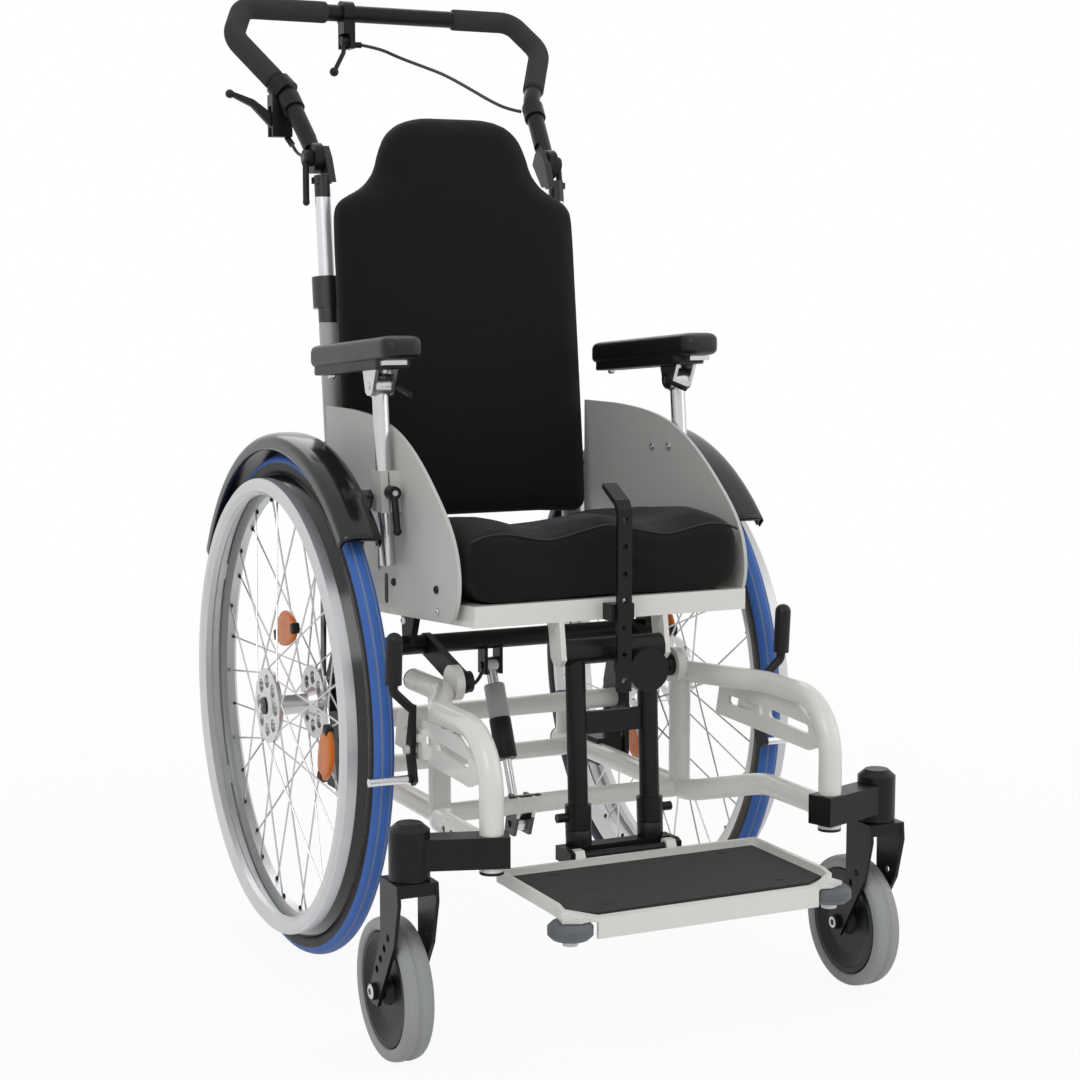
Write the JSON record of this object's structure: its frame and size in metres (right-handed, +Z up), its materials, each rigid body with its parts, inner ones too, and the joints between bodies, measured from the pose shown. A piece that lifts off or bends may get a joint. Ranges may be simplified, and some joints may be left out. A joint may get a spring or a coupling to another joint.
{
  "type": "tilt-in-space wheelchair",
  "caption": "Wheelchair whose seat tilts back in one piece, with folding legrest, height-adjustable armrests, push bar and padded back.",
  "frame": {"origin": "on the floor under the middle of the chair's bounding box", "axes": "+X to the chair's left-hand side as seen from the front (its occupant's left), -Y the way the chair faces, +Z up"},
  "size_m": [0.612, 0.913, 1.162],
  "materials": {
    "white_paint": "gloss",
    "black_paint": "satin",
    "grey_paint": "satin",
    "silver": "polished",
    "steel": "brushed",
    "tyre_blue": "matte",
    "tyre_grey": "matte",
    "black_plastic": "fine texture",
    "gloss_black": "gloss",
    "panel_grey": "matte",
    "foam": "matte foam",
    "cloth": "stretch fabric",
    "pad_black": "moulded skin",
    "roller_grey": "matte",
    "white_plastic": "satin",
    "mat_black": "matte"
  },
  "bodies": {
    "frame": {"side_frame_right": "white_paint", "side_frame_left": "white_paint", "mudguards": "gloss_black", "caster_housings": "black_paint", "axle_plates": "black_paint", "brake_rails": "steel", "plugs_and_pivot_bolts": "black_plastic", "cross_tubes": "white_paint"},
    "seat": {"seat_frame": "white_paint", "tilt_yoke": "black_paint", "side_panels": "panel_grey", "pommel_bar": "black_paint", "seat_cushion": "cloth", "spring_cable": "black_plastic"},
    "back": {"back_frame": "grey_paint", "back_cushion": "cloth"},
    "stems": {"push_stems": "silver"},
    "push_bar": {"push_bar": "black_paint", "push_bar_foam": "foam", "control_cables": "black_plastic"},
    "tilt_lever": {"tilt_lever": "black_plastic"},
    "brake_lever": {"brake_lever": "black_plastic"},
    "spring_cylinder": {"spring_cylinder": "silver"},
    "spring_rod": {"spring_rod": "steel"},
    "leg_hanger": {"leg_hanger": "black_paint"},
    "leg_slides": {"leg_slides": "black_paint"},
    "footplate": {"footplate": "white_plastic", "foot_mat": "mat_black"},
    "wheel_right": {"tyre_right": "tyre_blue", "rim_right": "silver", "hub_right": "silver", "handrim_right": "silver"},
    "release_button_right": {"release_button_right": "steel"},
    "caster_fork_right": {"caster_fork_right": "black_paint"},
    "caster_wheel_right": {"caster_tyre_right": "tyre_grey", "caster_rim_right": "black_plastic"},
    "armrest_post_right": {"armrest_post_right": "silver"},
    "armrest_pad_right": {"pad_bracket_right": "steel", "armrest_pad_right": "pad_black"},
    "height_lever_right": {"height_lever_right": "black_plastic"},
    "angle_lever_right": {"angle_lever_right": "black_plastic"},
    "cam_lever_right": {"cam_lever_right": "black_plastic"},
    "parking_brake_right": {"parking_brake_right": "black_paint"},
    "corner_roller_right": {"corner_roller_right": "roller_grey"},
    "wheel_left": {"tyre_left": "tyre_blue", "rim_left": "silver", "hub_left": "silver", "handrim_left": "silver"},
    "release_button_left": {"release_button_left": "steel"},
    "caster_fork_left": {"caster_fork_left": "black_paint"},
    "caster_wheel_left": {"caster_tyre_left": "tyre_grey", "caster_rim_left": "black_plastic"},
    "armrest_post_left": {"armrest_post_left": "silver"},
    "armrest_pad_left": {"pad_bracket_left": "steel", "armrest_pad_left": "pad_black"},
    "height_lever_left": {"height_lever_left": "black_plastic"},
    "angle_lever_left": {"angle_lever_left": "black_plastic"},
    "cam_lever_left": {"cam_lever_left": "black_plastic"},
    "parking_brake_left": {"parking_brake_left": "black_paint"},
    "corner_roller_left": {"corner_roller_left": "roller_grey"}
  },
  "joints": [
    {"name": "wheel_spin_right", "type": "hinge", "parent": "frame", "child": "wheel_right", "pos_m": [0.242, 0.1195, 0.296], "axis": [1, 0, 0], "continuous": true},
    {"name": "release_press_right", "type": "slide", "parent": "frame", "child": "release_button_right", "axis": [-1, 0, 0], "range_m": [0, 0.0035], "stiffness_N_per_m": 300},
    {"name": "caster_swivel_right", "type": "hinge", "parent": "frame", "child": "caster_fork_right", "pos_m": [0.2795, -0.3295, 0.225], "axis": [0, 0, 1], "continuous": true},
    {"name": "caster_spin_right", "type": "hinge", "parent": "caster_fork_right", "child": "caster_wheel_right", "pos_m": [0.2795, -0.2875, 0.074], "axis": [1, 0, 0], "continuous": true},
    {"name": "armrest_height_right", "type": "slide", "parent": "seat", "child": "armrest_post_right", "axis": [0, 0.1044, 0.9945], "range_m": [0, 0.06]},
    {"name": "armrest_angle_right", "type": "hinge", "parent": "armrest_post_right", "child": "armrest_pad_right", "pos_m": [0.19, -0.03117, 0.678], "axis": [-1, 0, 0], "range_deg": [-10, 12]},
    {"name": "height_clamp_right", "type": "hinge", "parent": "seat", "child": "height_lever_right", "pos_m": [0.19, -0.06087, 0.561], "axis": [0, -1, 0], "range_deg": [0, 12]},
    {"name": "angle_clamp_right", "type": "hinge", "parent": "armrest_post_right", "child": "angle_lever_right", "pos_m": [0.176, -0.03117, 0.678], "axis": [1, 0, 0], "range_deg": [0, 45]},
    {"name": "cam_release_right", "type": "hinge", "parent": "stems", "child": "cam_lever_right", "pos_m": [0.168, 0.2575, 0.945], "axis": [1, 0, 0], "range_deg": [0, 65]},
    {"name": "parking_brake_right", "type": "hinge", "parent": "frame", "child": "parking_brake_right", "pos_m": [0.217, -0.1805, 0.296], "axis": [1, 0, 0], "range_deg": [0, 15]},
    {"name": "roller_spin_right", "type": "hinge", "parent": "footplate", "child": "corner_roller_right", "pos_m": [0.151, -0.4325, 0.158], "axis": [0, 0, 1], "continuous": true},
    {"name": "wheel_spin_left", "type": "hinge", "parent": "frame", "child": "wheel_left", "pos_m": [-0.242, 0.1195, 0.296], "axis": [1, 0, 0], "continuous": true},
    {"name": "release_press_left", "type": "slide", "parent": "frame", "child": "release_button_left", "axis": [1, 0, 0], "range_m": [0, 0.0035], "stiffness_N_per_m": 300},
    {"name": "caster_swivel_left", "type": "hinge", "parent": "frame", "child": "caster_fork_left", "pos_m": [-0.2795, -0.3295, 0.225], "axis": [0, 0, 1], "continuous": true},
    {"name": "caster_spin_left", "type": "hinge", "parent": "caster_fork_left", "child": "caster_wheel_left", "pos_m": [-0.2795, -0.2875, 0.074], "axis": [1, 0, 0], "continuous": true},
    {"name": "armrest_height_left", "type": "slide", "parent": "seat", "child": "armrest_post_left", "axis": [0, 0.1044, 0.9945], "range_m": [0, 0.06]},
    {"name": "armrest_angle_left", "type": "hinge", "parent": "armrest_post_left", "child": "armrest_pad_left", "pos_m": [-0.19, -0.03117, 0.678], "axis": [-1, 0, 0], "range_deg": [-10, 12]},
    {"name": "height_clamp_left", "type": "hinge", "parent": "seat", "child": "height_lever_left", "pos_m": [-0.19, -0.06087, 0.561], "axis": [0, 1, 0], "range_deg": [0, 12]},
    {"name": "angle_clamp_left", "type": "hinge", "parent": "armrest_post_left", "child": "angle_lever_left", "pos_m": [-0.176, -0.03117, 0.678], "axis": [1, 0, 0], "range_deg": [0, 45]},
    {"name": "cam_release_left", "type": "hinge", "parent": "stems", "child": "cam_lever_left", "pos_m": [-0.168, 0.2575, 0.945], "axis": [1, 0, 0], "range_deg": [0, 65]},
    {"name": "parking_brake_left", "type": "hinge", "parent": "frame", "child": "parking_brake_left", "pos_m": [-0.217, -0.1805, 0.296], "axis": [1, 0, 0], "range_deg": [0, 15]},
    {"name": "roller_spin_left", "type": "hinge", "parent": "footplate", "child": "corner_roller_left", "pos_m": [-0.151, -0.4325, 0.158], "axis": [0, 0, 1], "continuous": true},
    {"name": "seat_tilt", "type": "hinge", "parent": "frame", "child": "seat", "pos_m": [0, -0.1205, 0.352], "axis": [-1, 0, 0], "range_deg": [0, 25]},
    {"name": "spring_swing", "type": "hinge", "parent": "seat", "child": "spring_cylinder", "pos_m": [-0.05, -0.0195, 0.35], "axis": [-1, 0, 0], "range_deg": [-22.55, 1]},
    {"name": "spring_slide", "type": "slide", "parent": "spring_cylinder", "child": "spring_rod", "axis": [0, 0.3997, 0.9166], "range_m": [-0.001, 0.0438]},
    {"name": "back_recline", "type": "hinge", "parent": "seat", "child": "back", "pos_m": [0, 0.1815, 0.44], "axis": [-1, 0, 0], "range_deg": [0, 30]},
    {"name": "push_bar_height", "type": "slide", "parent": "back", "child": "stems", "axis": [0, 0.1108, 0.9938], "range_m": [0, 0.1]},
    {"name": "push_bar_angle", "type": "hinge", "parent": "stems", "child": "push_bar", "pos_m": [0, 0.2575, 0.945], "axis": [-1, 0, 0], "range_deg": [-15, 60]},
    {"name": "tilt_lever_pull", "type": "hinge", "parent": "push_bar", "child": "tilt_lever", "pos_m": [-0.051, 0.4375, 1.11], "axis": [1, 0, 0], "range_deg": [0, 22], "stiffness_Nm_per_rad": 1},
    {"name": "brake_lever_pull", "type": "hinge", "parent": "push_bar", "child": "brake_lever", "pos_m": [-0.1773, 0.3385, 0.9873], "axis": [0, 1, 0], "range_deg": [0, 13], "stiffness_Nm_per_rad": 1},
    {"name": "leg_swing", "type": "hinge", "parent": "seat", "child": "leg_hanger", "pos_m": [0, -0.2275, 0.396], "axis": [-1, 0, 0], "range_deg": [0, 60]},
    {"name": "leg_length", "type": "slide", "parent": "leg_hanger", "child": "leg_slides", "axis": [0, -0.0513, -0.9987], "range_m": [0, 0.08]},
    {"name": "footplate_flip", "type": "hinge", "parent": "leg_slides", "child": "footplate", "pos_m": [0, -0.2585, 0.178], "axis": [-1, 0, 0], "range_deg": [0, 85]}
  ],
  "couplings": [
    {"joint": "spring_swing", "follows": "seat_tilt", "ratio": -0.862},
    {"joint": "spring_slide", "follows": "seat_tilt", "m_per_rad": 0.098}
  ]
}
